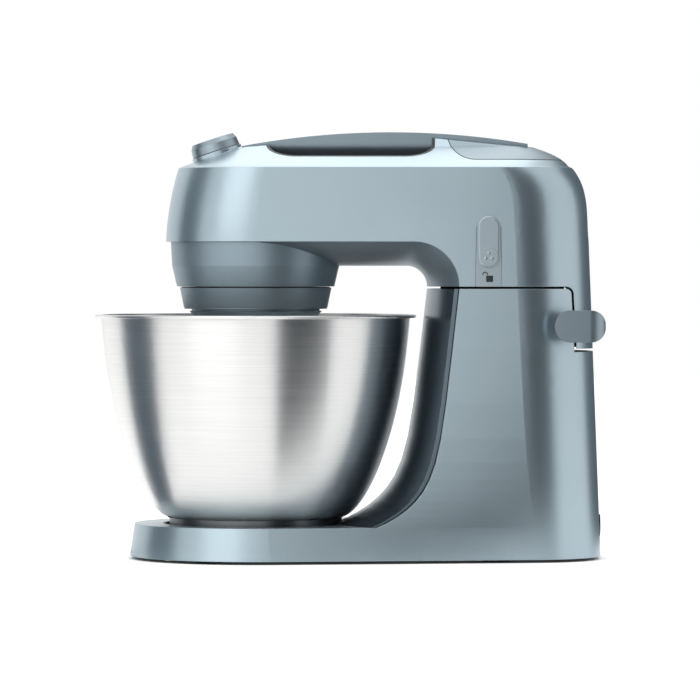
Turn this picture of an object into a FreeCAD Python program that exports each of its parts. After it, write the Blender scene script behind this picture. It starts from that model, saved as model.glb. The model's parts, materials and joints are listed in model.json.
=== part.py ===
import FreeCAD, Part
import math
import os

# Tilt-head stand mixer, in millimetres. +Z is up, the nose points to -X and the lock slider is on the -Y side.
# The origin lies on the table, under the middle of the whole machine.

V = FreeCAD.Vector
Y_AXIS = V(0, 1, 0)
Z_AXIS = V(0, 0, 1)
os.makedirs("parts", exist_ok=True)

# Walls and clearances
shell_wall = 2.8
panel_wall = 3.0
cap_wall = 3.0
fit_gap = 0.2
cover_gap = 0.4
swing_gap = 0.6
run_gap = 0.05
reach = 400.0

# Stand: base under the bowl, column behind it
hub_x = -69.4
base_bottom_z = 2.2
base_top_z = 25.8
base_r = 92.1
base_top_r = 88.6
column_half = 66.0
corner_r = 55.0
foot_rear_x = 182.2
seam_rear_x = 174.7
seam_z = 196.9
side_flare_len = 45.0
flare_len = 18.0
bowl_room = 12.3
belly_depth = 22.4
edge_flare = 40.6
belly_flare = 48.0
belly_flare_len = 20.0
column_lean = 0.112

# Head, measured up from the seam
seam_gap = 1.6
tail_gap = 2.2
arm_rise = 34.1
shoulder_rise = 87.6
crown_rise = 103.1
ridge_rise = 6.5
ridge_front_x = -20.0
ridge_rear_x = 70.0
nose_reach = 65.5
nose_draft = 9.1
shoulder_tuck = 2.2
shoulder_round = 1.5
arm_belly_drop = 17.5
flap_top_x = 160.8
flap_low_x = 163.0
flap_drop = 44.9
flap_corner_r = 4.0

# Nose cup and planet hub
cup_tuck = 4.0
cup_draft = 4.5
cup_floor = 2.5
hub_gap = 0.9
hub_tuck = 2.1
hub_draft = 2.9
hub_height = 14.4
skirt_neck = 2.5
skirt_height = 4.2
skirt_tuck = 4.1
skirt_draft = 3.4
hub_wall = 3.0

# Drive train
gear_module = 1.5
hub_teeth = 60
jack_teeth = 15
ring_teeth = 54
planet_teeth = 18
backlash = 0.3
gear_width = 10.0
planet_width = 7.0
hub_shaft_r = 6.0
jack_shaft_r = 5.0
motor_shaft_r = 4.0
tool_shaft_r = 6.0
tool_end_r = 5.5
tool_length = 28.0
cross_pin_r = 1.6
cross_pin_half = 10.0
bush_wall = 3.0
jack_pulley_r = 30.0
motor_pulley_r = 10.0
pulley_width = 10.0
belt_thick = 2.2
belt_gap = 0.35
chassis_thick = 4.0
chassis_rise = 5.0
motor_x = 109.5
stator_r = 44.0
stator_height = 28.0
rotor_r = 24.0
air_gap = 0.6
fan_r = 32.0
fan_height = 13.0

# Handle, rear cover and controls
pocket_half_x = 61.0
pocket_half_y = 44.0
pocket_depth = 33.0
pan_wall = 2.0
bar_half = 18.0
bar_front_x = -79.0
bar_rear_x = 128.7
bar_top_z = 310.6
bar_low_z = 289.0
cover_front_x = 70.0
cover_low_z = 290.0
cover_arc_r = 20.0
dial_x = -97.8
dial_z = 296.2
dial_tilt = 18.0
dial_r = 17.9
dial_top_r = 15.6
dial_height = 9.0
dial_lift = 1.0
slider_x = 99.1
slider_low_z = 212.2
slider_width = 15.8
slider_height = 37.2
slider_thick = 2.6
slider_travel = 10.0
bolt_width = 8.0
bolt_thick = 5.0

# Hinge and release lever
hinge_x = 166.0
hinge_z = 170.0
pin_r = 3.0
knuckle_r = 4.5
knuckle_y = 6.0
knuckle_width = 9.0
ear_width = 7.0
lever_gap = 2.8
lever_thick = 4.8
lever_front_x = 146.5
lever_height = 23.0
lever_corner_r = 11.0
lever_bend_r = 12.0
lever_side_gap = 2.0

# Bowl and its seat
bowl_z = 30.0
bowl_rim_z = 176.8
bowl_wall = 1.0
bowl_floor_r = 61.5
bowl_mouth_r = 112.8
rim_width = 4.6
rim_thick = 2.4
bowl_rise = 1.5
bowl_swell = 0.55
foot_r = 63.0
foot_wall = 1.5
foot_height = 10.2
lug_reach = 2.8
lug_height = 2.5
seat_wall = 1.5
seat_flange = 7.0
seat_floor = 2.0
lip_height = 2.5
lip_angle = 42.0
lug_angle = 30.0
lug_count = 4

# Underside
plate_thick = 2.6
plate_gap = 0.4
foot_pad_r = 10.0
screw_r = 1.7
screw_head_r = 3.4
post_r = 4.5
inlet_r = 8.0
inlet_bore_r = 3.6
inlet_z = 24.0

# Places that follow from the sizes above
belly_top_x = hub_x + bowl_mouth_r + bowl_room
edge_top_x = belly_top_x + belly_depth
seat_r = foot_r + lug_reach + cover_gap + seat_wall
cup_r = column_half - cup_tuck
cup_low_r = cup_r - cup_draft
hub_top_r = cup_low_r - hub_tuck
hub_low_r = hub_top_r - hub_draft
skirt_top_r = hub_low_r - skirt_tuck
skirt_low_r = skirt_top_r - skirt_draft
head_z = seam_z + seam_gap
arm_z = seam_z + arm_rise
shoulder_z = seam_z + shoulder_rise
crown_z = seam_z + crown_rise
arm_belly_z = arm_z - arm_belly_drop
arch_edge_r = arm_z - head_z
arch_belly_r = arm_belly_z - head_z
nose_x = hub_x - nose_reach
inner_half = column_half - shell_wall - fit_gap
chassis_z = arm_z + chassis_rise
gear_z = chassis_z + chassis_thick + 2.5
pulley_z = chassis_z - 3.0 - pulley_width
planet_x = hub_x - gear_module * (ring_teeth - planet_teeth) / 2
jack_x = hub_x + gear_module * (hub_teeth + jack_teeth) / 2
hub_z = head_z - hub_gap
hub_low_z = hub_z - hub_height
skirt_z = hub_low_z - skirt_neck - skirt_height
cup_top_z = head_z + cup_floor


def save(name, shape):
    """Write one piece of the mixer, as its bare solids."""
    solids = shape.Solids
    piece = solids[0] if len(solids) == 1 else Part.makeCompound(solids)
    piece.exportStep(f"parts/{name}.step")


def line(start, end):
    return Part.LineSegment(start, end).toShape()


def arc(start, middle, end):
    return Part.Arc(start, middle, end).toShape()


def on_circle(centre, radius, degrees):
    """Point on a circle in the plane of the XZ side view."""
    turn = math.radians(degrees)
    return centre + V(radius * math.cos(turn), 0, radius * math.sin(turn))


def polygon(points):
    return Part.makePolygon(points + points[:1])


def drum(radius, low_z, high_z, x, y=0.0):
    """Upright cylinder."""
    return Part.makeCylinder(radius, high_z - low_z, V(x, y, low_z))


def ring(outer_r, inner_r, low_z, high_z, x, y=0.0):
    return drum(outer_r, low_z, high_z, x, y).cut(drum(inner_r, low_z - 1, high_z + 1, x, y))


def rod(radius, x, z, low_y, high_y):
    """Cylinder that lies across the mixer."""
    return Part.makeCylinder(radius, high_y - low_y, V(x, low_y, z), Y_AXIS)


def block(low_x, high_x, low_y, high_y, low_z, high_z):
    return Part.makeBox(high_x - low_x, high_y - low_y, high_z - low_z, V(low_x, low_y, low_z))


def turned(points, x):
    """Solid of revolution about an upright axis at x, from (radius, z) points."""
    wire = polygon([V(x + radius, 0, z) for radius, z in points])
    return Part.Face(wire).revolve(V(x, 0, 0), Z_AXIS, 360)


def across(wire, half):
    """Extrude a side-view outline to both sides."""
    face = Part.Face(wire)
    face.translate(V(0, -half, 0))
    return face.extrude(V(0, 2 * half, 0))


def both_sides(shape):
    return shape.fuse(shape.mirror(V(0, 0, 0), Y_AXIS))


def pair(shape):
    """The same piece on both sides, as two solids."""
    return Part.makeCompound([shape, shape.mirror(V(0, 0, 0), Y_AXIS)])


def side_lean(nose_r, run_x, run_y, end_r):
    """Angle of the straight side that touches the round nose and the rear corner."""
    return math.atan2(run_x, run_y) - math.acos((nose_r - end_r) / math.hypot(run_x, run_y))


def plan_wire(z, tip_x, nose_r, rear_x, rear_half, end_r):
    """Plan outline: round nose, straight sides, rounded rear corners."""
    nose = V(tip_x + nose_r, 0, z)
    corner = V(rear_x - end_r, rear_half - end_r, z)
    lean = side_lean(nose_r, corner.x - nose.x, corner.y, end_r)

    def around(centre, radius, turn):
        return centre + V(radius * math.sin(turn), radius * math.cos(turn), 0)

    quarter = math.pi / 2
    points = [
        V(tip_x, 0, z),
        around(nose, nose_r, (lean - quarter) / 2),
        around(nose, nose_r, lean),
        around(corner, end_r, lean),
        around(corner, end_r, (lean + quarter) / 2),
        around(corner, end_r, quarter),
    ]
    far = [V(point.x, -point.y, z) for point in points]
    return Part.Wire([
        arc(points[0], points[1], points[2]),
        line(points[2], points[3]),
        arc(points[3], points[4], points[5]),
        line(points[5], far[5]),
        arc(far[5], far[4], far[3]),
        line(far[3], far[2]),
        arc(far[2], far[1], far[0]),
    ])


def plan_prism(wire, height):
    return Part.Face(wire).extrude(V(0, 0, height))


def loft(wires, ruled=False):
    return Part.makeLoft(wires, True, ruled)


def rounded_prism(half_x, half_y, radius, low_z, high_z):
    """Upright block with rounded corners, centred on the origin's axis."""
    solid = block(-half_x, half_x, -half_y, half_y, low_z, high_z)
    upright = [edge for edge in solid.Edges if abs(edge.BoundBox.ZLength - (high_z - low_z)) < 0.01]
    return solid.makeFillet(radius, upright)


# Stand outlines


def flare_r(z):
    """Radius of the stand's round front, which narrows above the base."""
    if z <= base_top_z:
        return base_r + (base_top_r - base_r) * (z - base_bottom_z) / (base_top_z - base_bottom_z)
    return column_half + (base_top_r - column_half) * math.exp((base_top_z - z) / side_flare_len)


def column_rear(z):
    return foot_rear_x + (seam_rear_x - foot_rear_x) * (z - base_bottom_z) / (seam_z - base_bottom_z)


def stand_wire(z, inset):
    front_r = flare_r(z) - inset
    return plan_wire(z, hub_x - front_r, front_r, column_rear(z) - inset, column_half - inset, corner_r - inset)


def stand_half(x, z):
    """Half width of the stand at one place on its straight side."""
    front_r = flare_r(z)
    lean = side_lean(front_r, column_rear(z) - corner_r - hub_x, column_half - corner_r, corner_r)
    return (front_r - math.sin(lean) * (x - hub_x)) / math.cos(lean)


def edge_x(z):
    """Crisp front edge of the column's side."""
    return edge_top_x - column_lean * (seam_z - z) - edge_flare * math.exp((base_top_z - z) / flare_len)


def belly_x(z):
    """Foremost line of the column's convex inner panel."""
    return belly_top_x - column_lean * (seam_z - z) - belly_flare * math.exp((base_top_z - z) / belly_flare_len)


column_shares = (0, 0.02, 0.045, 0.075, 0.11, 0.15, 0.2, 0.27, 0.37, 0.52, 0.75, 1)
column_steps = [base_top_z + (seam_z - base_top_z) * share for share in column_shares]


def column_loft(inset):
    return loft([stand_wire(z, inset) for z in column_steps], True)


def base_loft(inset, low_z, high_z):
    return loft([stand_wire(low_z, inset), stand_wire(high_z, inset)], True)


def seam_outline(gap):
    """Rear end of the column's side below the head: top edge, round corner, rear edge, ledge."""
    top = seam_z + gap
    ledge_z = head_z - flap_drop - tail_gap * (1 - gap / seam_gap)
    low = V(flap_low_x - seam_gap + gap, 0, ledge_z)
    high = V(flap_top_x - seam_gap + gap, 0, top)
    radius = flap_corner_r + gap
    middle = on_circle(V(high.x - radius, 0, top - radius), radius, 45)
    start = V(high.x - radius, 0, top)
    end = V(high.x, 0, top - radius)
    return start, middle, end, low


def column_profile():
    """Side view of the column, with its curved front edge and the step for the head's tail."""
    start, middle, end, low = seam_outline(0)
    edge = [V(edge_x(z), 0, z) for z in column_steps]
    return Part.Wire([line(edge[index], edge[index + 1]) for index in range(len(edge) - 1)] + [
        line(edge[-1], start),
        arc(start, middle, end),
        line(end, low),
        line(low, V(reach, 0, low.z)),
        line(V(reach, 0, low.z), V(reach, 0, base_top_z)),
        line(V(reach, 0, base_top_z), edge[0]),
    ])


# Column and base moulding: one thin painted shell, open in front, on top and below
support_x = edge_x(base_top_z) + 2 * panel_wall
column_outer = column_loft(0).common(across(column_profile(), reach))
base_room_z = base_top_z - shell_wall
base_room = base_loft(shell_wall, base_bottom_z - 1, base_room_z)
throat_wire = stand_wire(base_top_z, shell_wall)
throat_wire.translate(V(0, 0, -2 * shell_wall))
column_room = loft([throat_wire, stand_wire(base_top_z, shell_wall)], True).fuse(column_loft(shell_wall))
column_room = column_room.cut(block(-reach, support_x, -reach, reach, 0, base_top_z))
seat_hole = drum(seat_r + fit_gap, 0, base_top_z + 1, hub_x)
post_ring = (seat_r + seat_flange + base_top_r - shell_wall) / 2
screw_places = [
    (hub_x + post_ring * math.cos(math.radians(angle)), post_ring * math.sin(math.radians(angle)))
    for angle in (40, 140)
]
plate_low_z = base_bottom_z + plate_gap
plate_high_z = plate_low_z + plate_thick
stand_shell = base_loft(0, base_bottom_z, base_top_z).fuse(column_outer).removeSplitter()
for room in (base_room, column_room, seat_hole):
    stand_shell = stand_shell.cut(room)
for x, y in screw_places:
    stand_shell = stand_shell.fuse(pair(ring(post_r, screw_r, plate_high_z, base_room_z + shell_wall / 2, x, y)))
inlet_hole = Part.makeCylinder(inlet_r + fit_gap, reach, V(foot_rear_x - corner_r, 0, inlet_z), V(1, 0, 0))
tail_swing_r = math.hypot(hinge_x - flap_low_x, hinge_z - head_z + flap_drop) + swing_gap
corner_x = column_rear(head_z - flap_drop) - corner_r
tail_swing_half = column_half - corner_r + math.sqrt(corner_r ** 2 - (flap_low_x - corner_x) ** 2) + swing_gap
stand_shell = stand_shell.cut(inlet_hole).cut(rod(tail_swing_r, hinge_x, hinge_z, -tail_swing_half, tail_swing_half))
save("stand_shell", stand_shell)


def belly_wire(z):
    """Level section of the column's inner panel: two bowed lines and two short ends."""
    half = stand_half(edge_x(z), z) + 2
    tip = V(belly_x(z), 0, z)
    left = V(edge_x(z), -half, z)
    right = V(edge_x(z), half, z)
    depth = V(panel_wall, 0, 0)
    return Part.Wire([
        arc(left, tip, right),
        line(right, right + depth),
        arc(right + depth, tip + depth, left + depth),
        line(left + depth, left),
    ])


# Convex inner panel of the column: runs from the head's seam down into the base's top
stand_belly = loft([belly_wire(z) for z in column_steps], True)
stand_belly = stand_belly.common(column_loft(shell_wall + fit_gap))
stand_belly = stand_belly.cut(drum(seat_r + swing_gap, base_top_z - 1, base_top_z + 2 * lip_height, hub_x))
save("stand_belly", stand_belly)


def behind_belly(low_z, high_z, top_edge_x, top_tip_x, half):
    """Everything behind the bowed inner panel between two heights."""
    left = V(top_edge_x, -half, low_z)
    right = V(top_edge_x, half, low_z)
    tip = V(top_tip_x, 0, low_z)
    wire = Part.Wire([
        arc(left, tip, right),
        line(right, V(reach, half, low_z)),
        line(V(reach, half, low_z), V(reach, -half, low_z)),
        line(V(reach, -half, low_z), left),
    ])
    return plan_prism(wire, high_z - low_z)


# Cap that closes the column under the head, with the slot for the lock bolt
bolt_outer_y = -(inner_half - fit_gap)
bolt_inner_y = bolt_outer_y + bolt_thick
bolt_slot = block(
    slider_x - bolt_width / 2 - swing_gap, slider_x + bolt_width / 2 + swing_gap,
    -reach, bolt_inner_y + swing_gap, 0, arm_z,
)
cap_low_z = seam_z - cap_wall
cap_front = panel_wall + fit_gap
column_cap = column_loft(shell_wall + fit_gap).common(
    behind_belly(cap_low_z, seam_z, edge_x(seam_z) + cap_front, belly_x(seam_z) + cap_front, column_half + 2))
column_cap = column_cap.cut(block(flap_top_x - seam_gap - flap_corner_r, reach, -reach, reach, 0, reach))
column_cap = column_cap.cut(bolt_slot)
save("column_cap", column_cap)

# Rubber strips that the head rests on, which also close the seam to light
strip_y = column_half / 3
strip_front_x = edge_top_x - 4 * panel_wall
strip_rear_x = flap_top_x - 2 * panel_wall
save("rest_pads", pair(block(strip_front_x, strip_rear_x, strip_y, strip_y + 2 * panel_wall, seam_z, head_z)))

# Base plate with its rubber feet and screws
base_plate = plan_prism(stand_wire(base_bottom_z, shell_wall + 2 * plate_gap), plate_thick)
base_plate.translate(V(0, 0, plate_gap))
for x, y in screw_places:
    base_plate = base_plate.cut(both_sides(drum(screw_r + fit_gap, 0, reach, x, y)))
save("base_plate", base_plate)
pad_places = [(hub_x - base_r * 0.35, base_r * 0.68), (foot_rear_x - corner_r * 1.4, column_half * 0.62)]
save("foot_pads", Part.makeCompound([pair(drum(foot_pad_r, 0, plate_low_z, x, y)) for x, y in pad_places]))
screws = []
for x, y in screw_places:
    head = drum(screw_head_r, plate_low_z - 1.6, plate_low_z, x, y)
    shank = drum(screw_r - run_gap, plate_low_z, plate_high_z + 9.0, x, y)
    screws.append(pair(head.fuse(shank).removeSplitter()))
save("base_screws", Part.makeCompound(screws))

# Cord inlet: a grommet in the back wall
wall_x = column_rear(inlet_z)
inlet = Part.makeCylinder(inlet_r, shell_wall + 4.0, V(wall_x - shell_wall - 3.0, 0, inlet_z), V(1, 0, 0))
inlet_flange = Part.makeCylinder(inlet_r + 2.0, 2.0, V(wall_x - shell_wall - 3.0, 0, inlet_z), V(1, 0, 0))
inlet_bore = Part.makeCylinder(inlet_bore_r, reach, V(0, 0, inlet_z), V(1, 0, 0))
save("cord_inlet", inlet.fuse(inlet_flange).cut(inlet_bore).removeSplitter())


def sector(inner_r, outer_r, low_z, high_z, centre_angle, width_angle):
    """Piece of a ring about the bowl's axis."""
    face = Part.Face(polygon([
        V(hub_x + inner_r, 0, low_z), V(hub_x + outer_r, 0, low_z),
        V(hub_x + outer_r, 0, high_z), V(hub_x + inner_r, 0, high_z),
    ]))
    axis = V(hub_x, 0, 0)
    solid = face.revolve(axis, Z_AXIS, width_angle)
    solid.rotate(axis, Z_AXIS, centre_angle - width_angle / 2)
    return solid


# Bowl seat: a dish let into the base, with inward lips for a bayonet
foot_low_z = bowl_z - foot_height
seat_top_z = foot_low_z - 0.3
lug_low_z = foot_low_z + fit_gap
lip_low_z = lug_low_z + lug_height + swing_gap
lip_r = foot_r + swing_gap
seat_inner_r = foot_r + lug_reach + cover_gap
bowl_seat = turned([
    (0, seat_top_z - seat_floor), (seat_r, seat_top_z - seat_floor), (seat_r, base_room_z - lip_height),
    (seat_r + seat_flange, base_room_z - lip_height), (seat_r + seat_flange, base_room_z), (seat_r, base_room_z),
    (seat_r, lip_low_z + lip_height), (seat_inner_r, lip_low_z + lip_height), (seat_inner_r, seat_top_z),
    (0, seat_top_z),
], hub_x)
lug_pitch = 360 / lug_count
for index in range(lug_count):
    lip = sector(lip_r, seat_inner_r + seat_wall / 2, lip_low_z, lip_low_z + lip_height,
                 lug_pitch * (index + 0.5), lip_angle)
    bowl_seat = bowl_seat.fuse(lip)
save("bowl_seat", bowl_seat.removeSplitter())


def bowl_point(share):
    """Point on the bowl's outer wall, from its floor (0) to its mouth (1)."""
    grow = (1 - (1 - share) ** bowl_rise) ** bowl_swell
    return V(bowl_floor_r + (bowl_mouth_r - bowl_floor_r) * grow, 0, bowl_z + (bowl_rim_z - bowl_z) * share)


def bowl_inner(share):
    """The same point on the inner face, one wall further in."""
    step = 0.002
    run = bowl_point(min(share + step, 1)) - bowl_point(max(share - step, 0))
    run.normalize()
    return bowl_point(share) + V(-run.z, 0, run.x) * bowl_wall


# Bowl: a deep spun steel bowl with a rolled rim
bowl_shares = (0, 0.004, 0.02, 0.06, 0.14, 0.3, 0.6, 1)
outer_curve = Part.BSplineCurve()
outer_curve.interpolate([bowl_point(share) for share in bowl_shares])
inner_curve = Part.BSplineCurve()
inner_curve.interpolate([V(bowl_floor_r, 0, bowl_z + bowl_wall)] + [bowl_inner(share) for share in bowl_shares[2:]])
low = V(0, 0, bowl_z)
high = V(0, 0, bowl_z + bowl_wall)
bowl_wire = Part.Wire([
    line(low, bowl_point(0)),
    outer_curve.toShape(),
    line(bowl_point(1), bowl_inner(1)),
    inner_curve.toShape(),
    line(V(bowl_floor_r, 0, bowl_z + bowl_wall), high),
    line(high, low),
])
bowl = Part.Face(bowl_wire).revolve(V(0, 0, 0), Z_AXIS, 360)
rim_low_z = bowl_rim_z - rim_thick / 2
rim = ring(bowl_mouth_r + rim_width, bowl_mouth_r - bowl_wall, rim_low_z, rim_low_z + rim_thick, 0)
rim_edges = [edge for edge in rim.Edges if edge.BoundBox.XLength > 2 * bowl_mouth_r + rim_width]
bowl = bowl.fuse(rim.makeFillet(rim_thick * 0.45, rim_edges)).removeSplitter()
bowl.translate(V(hub_x, 0, 0))
save("bowl", bowl)

# Foot ring welded under the bowl, with bayonet lugs
bowl_foot = ring(foot_r, foot_r - foot_wall, foot_low_z, bowl_z, hub_x)
for index in range(lug_count):
    lug = sector(foot_r - foot_wall / 2, foot_r + lug_reach, lug_low_z, lug_low_z + lug_height,
                 lug_pitch * (index + 0.5), lug_angle)
    bowl_foot = bowl_foot.fuse(lug)
save("bowl_foot", bowl_foot.removeSplitter())


# Head outlines


def head_rear(z):
    return seam_rear_x + (seam_rear_x - foot_rear_x) * (z - seam_z) / (seam_z - base_bottom_z)


def head_wire(z, tip_x, rear_x, half, end_r, inset):
    return plan_wire(z, tip_x + inset, half - inset, rear_x - inset, half - inset, end_r - inset)


def head_solid(inset):
    """Head moulding as a full solid: upright body, tucked shoulder, crowned roof."""
    waist_z = (arm_z + shoulder_z) / 2
    low_z = head_z - flap_drop - seam_gap
    shoulder_x = nose_x + nose_draft
    shoulder_rear = seam_rear_x - 13.2
    shoulder_half = column_half - shoulder_tuck
    top_z = shoulder_z - inset
    roof_z = crown_z - inset
    lower = loft([
        head_wire(low_z, nose_x, head_rear(low_z), column_half, corner_r, inset),
        head_wire(arm_z, nose_x, head_rear(arm_z), column_half, corner_r, inset),
    ], True)
    upper = loft([
        head_wire(arm_z, nose_x, head_rear(arm_z), column_half, corner_r, inset),
        head_wire(waist_z, nose_x + nose_draft * 0.3, head_rear(waist_z) - 0.6, column_half - 0.4, corner_r, inset),
        head_wire((waist_z + shoulder_z) / 2, nose_x + nose_draft * 0.6, head_rear(waist_z) - 3.4,
                  column_half - 1.1, corner_r, inset),
        head_wire(top_z, shoulder_x, shoulder_rear, shoulder_half, corner_r, inset),
    ])
    roof_height = crown_rise - shoulder_rise
    shoulder = head_wire(top_z, shoulder_x, shoulder_rear, shoulder_half, corner_r, inset)
    eaves = head_wire(top_z + shoulder_round, shoulder_x + 2 * shoulder_round, shoulder_rear - 2 * shoulder_round,
                      shoulder_half - 2 * shoulder_round, corner_r - 2 * shoulder_round, inset)
    crown = head_wire(roof_z, shoulder_x + roof_height * 2.6, shoulder_rear - roof_height * 1.85,
                      shoulder_half * 0.4, corner_r * 0.4, inset)
    ridge = head_wire(roof_z + ridge_rise, ridge_front_x, ridge_rear_x, shoulder_half * 0.33, corner_r * 0.3, inset)
    roof = loft([
        eaves,
        head_wire((top_z + roof_z) / 2, shoulder_x + roof_height * 1.3, shoulder_rear - roof_height * 0.65,
                  shoulder_half * 0.7, corner_r * 0.72, inset),
        crown,
    ])
    ends = loft([shoulder, eaves], True)
    return lower.fuse([upper, ends, roof, loft([crown, ridge], True)]).removeSplitter()


def head_profile():
    """Side view that trims the head: arm edge, arch corner, seam and tail."""
    start, middle, end, low = seam_outline(seam_gap)
    centre = V(edge_top_x - arch_edge_r, 0, arm_z - arch_edge_r)
    return Part.Wire([
        line(V(-reach, 0, arm_z), V(centre.x, 0, arm_z)),
        arc(V(centre.x, 0, arm_z), on_circle(centre, arch_edge_r, 45), V(edge_top_x, 0, centre.z)),
        line(V(edge_top_x, 0, head_z), start),
        arc(start, middle, end),
        line(end, low),
        line(low, V(reach, 0, low.z)),
        line(V(reach, 0, low.z), V(reach, 0, reach)),
        line(V(reach, 0, reach), V(-reach, 0, reach)),
        line(V(-reach, 0, reach), V(-reach, 0, arm_z)),
    ])


head_outer = head_solid(0).common(across(head_profile(), reach))
head_room = head_solid(shell_wall)
pocket_floor_z = crown_z - pocket_depth
pocket_r = pocket_half_y / 2
pocket = rounded_prism(pocket_half_x, pocket_half_y, pocket_r, pocket_floor_z, reach)
pocket_cut = rounded_prism(pocket_half_x + fit_gap, pocket_half_y + fit_gap, pocket_r, pocket_floor_z - 5, reach)


def cover_cutter(gap):
    """Region of the rear top cover in side view, with its curved front lower corner."""
    front_x = cover_front_x + gap
    low_z = cover_low_z + gap
    radius = cover_arc_r - gap
    centre = V(front_x + radius, 0, low_z + radius)
    wire = Part.Wire([
        arc(V(front_x, 0, centre.z), on_circle(centre, radius, 225), V(centre.x, 0, low_z)),
        line(V(centre.x, 0, low_z), V(reach, 0, low_z)),
        line(V(reach, 0, low_z), V(reach, 0, reach)),
        line(V(reach, 0, reach), V(front_x, 0, reach)),
        line(V(front_x, 0, reach), V(front_x, 0, centre.z)),
    ])
    return across(wire, reach)


def on_dial(shape):
    """Move a piece drawn about the Z axis to the dial's sloped seat."""
    shape.rotate(V(0, 0, 0), Y_AXIS, -dial_tilt)
    shape.translate(V(dial_x, 0, dial_z))
    return shape


# Lock slider: its panel is let into the head's side, its stem goes through to the bolt
panel_half = slider_width / 2 + 0.7
panel_high_z = slider_low_z + slider_height - slider_width / 2
panel_depth = 1.2
stem_half = 2.5
stem_low_z = slider_low_z + slider_height / 2 - 4.0
stem_high_z = stem_low_z + 10.0


def panel_prism(gap, depth):
    """Slightly flared plate under the slider, let into the -Y side."""
    wire = polygon([
        V(slider_x - panel_half - 0.8 - gap, 0, head_z), V(slider_x + panel_half + 0.8 + gap, 0, head_z),
        V(slider_x + panel_half + gap, 0, panel_high_z + gap), V(slider_x - panel_half - gap, 0, panel_high_z + gap),
    ])
    face = Part.Face(wire)
    face.translate(V(0, depth - column_half, 0))
    return face.extrude(V(0, -reach, 0))


stem_slot = block(
    slider_x - stem_half - cover_gap, slider_x + stem_half + cover_gap, -reach, 0,
    stem_low_z - slider_travel - cover_gap, stem_high_z + cover_gap,
)
lock_panel = head_outer.common(panel_prism(0, panel_depth)).cut(stem_slot)
save("lock_panel", lock_panel)
slide_y = -column_half - cover_gap
pill_r = slider_width / 2
pill_low = V(slider_x, slide_y, slider_low_z + pill_r)
pill_high = V(slider_x, slide_y, slider_low_z + slider_height - pill_r)
pill = Part.Wire([
    arc(pill_low - V(pill_r, 0, 0), pill_low - V(0, 0, pill_r), pill_low + V(pill_r, 0, 0)),
    line(pill_low + V(pill_r, 0, 0), pill_high + V(pill_r, 0, 0)),
    arc(pill_high + V(pill_r, 0, 0), pill_high + V(0, 0, pill_r), pill_high - V(pill_r, 0, 0)),
    line(pill_high - V(pill_r, 0, 0), pill_low - V(pill_r, 0, 0)),
])
lock_slider = Part.Face(pill).extrude(V(0, -slider_thick, 0))
front = [edge for edge in lock_slider.Edges if edge.BoundBox.YMax < slide_y - slider_thick + 0.01]
lock_slider = lock_slider.makeFillet(slider_thick * 0.45, front)
stem = block(slider_x - stem_half, slider_x + stem_half, slide_y, bolt_outer_y, stem_low_z, stem_high_z)
save("lock_slider", lock_slider.fuse(stem).removeSplitter())
floor_wall = 3.0
bolt_low_z = head_z + floor_wall + swing_gap
bolt_half = bolt_width / 2
save("lock_bolt", block(slider_x - bolt_half, slider_x + bolt_half, bolt_outer_y, bolt_inner_y,
                        bolt_low_z, stem_high_z))

# Head moulding: thin painted shell with openings for the handle, cover, dial, slider and hinge pin
dial_bore_r = 4.0
dial_seat = on_dial(drum(dial_r + 0.8, -6, 0.6, 0)).common(block(-reach, reach, -reach, reach, shoulder_z, reach))
head_shell = head_outer.cut(head_room).fuse(dial_seat.cut(head_room))
head_shell = head_shell.cut(pocket_cut).cut(cover_cutter(0))
head_shell = head_shell.cut(on_dial(drum(dial_bore_r, -30, 30, 0)))
head_shell = head_shell.cut(panel_prism(fit_gap, panel_depth)).cut(stem_slot)
head_shell = head_shell.cut(rod(pin_r + swing_gap, hinge_x, hinge_z, -reach, reach))
save("head_shell", head_shell)
rear_cover = head_outer.cut(head_room).common(cover_cutter(cover_gap))
save("rear_cover", rear_cover)

# Carry handle: a bowed bar over a dark finger pan
bar_end_z = crown_z - 6.0
bar_top_x = (bar_front_x + bar_rear_x) / 2 + 8
bar_wire = Part.Wire([
    arc(V(bar_front_x, 0, crown_z + 0.6), V(bar_top_x, 0, bar_top_z), V(bar_rear_x, 0, crown_z + 2.2)),
    line(V(bar_rear_x, 0, crown_z + 2.2), V(bar_rear_x, 0, bar_end_z)),
    line(V(bar_rear_x, 0, bar_end_z), V(pocket_half_x, 0, bar_end_z)),
    line(V(pocket_half_x, 0, bar_end_z), V(pocket_half_x, 0, bar_low_z)),
    line(V(pocket_half_x, 0, bar_low_z), V(-pocket_half_x, 0, bar_low_z)),
    line(V(-pocket_half_x, 0, bar_low_z), V(-pocket_half_x, 0, bar_end_z)),
    line(V(-pocket_half_x, 0, bar_end_z), V(bar_front_x, 0, bar_end_z)),
    line(V(bar_front_x, 0, bar_end_z), V(bar_front_x, 0, crown_z + 0.6)),
])
bar = across(bar_wire, bar_half)
bar_low_edges = [edge for edge in bar.Edges
                 if abs(edge.BoundBox.ZMax - bar_low_z) < 0.01 and edge.BoundBox.XLength > pocket_half_x]
bar = bar.makeFillet(bar_half * 0.75, bar_low_edges)
handle_bar = bar.cut(head_outer.cut(pocket))
save("handle_bar", handle_bar)
pan_room = rounded_prism(pocket_half_x - pan_wall, pocket_half_y - pan_wall, pocket_r - pan_wall,
                         pocket_floor_z + pan_wall, reach)
bar_notch = block(-reach, reach, -bar_half - fit_gap, bar_half + fit_gap, bar_low_z - fit_gap, reach)
handle_pan = head_outer.common(pocket).cut(pan_room).cut(bar_notch)
save("handle_pan", handle_pan)


def arm_wire(edge_point, tip_point, wall):
    """Bowed section of the head's underside; the inner one reaches past the edge."""
    half = inner_half - wall
    right = V(edge_point.x, half, edge_point.z)
    left = V(edge_point.x, -half, edge_point.z)
    bow = arc(left, tip_point, right)
    if not wall:
        return Part.Wire([bow, line(right, left)])
    past = edge_point - tip_point
    past.normalize()
    past = past * wall
    return Part.Wire([bow, line(right, right + past), line(right + past, left + past), line(left + past, left)])


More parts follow.
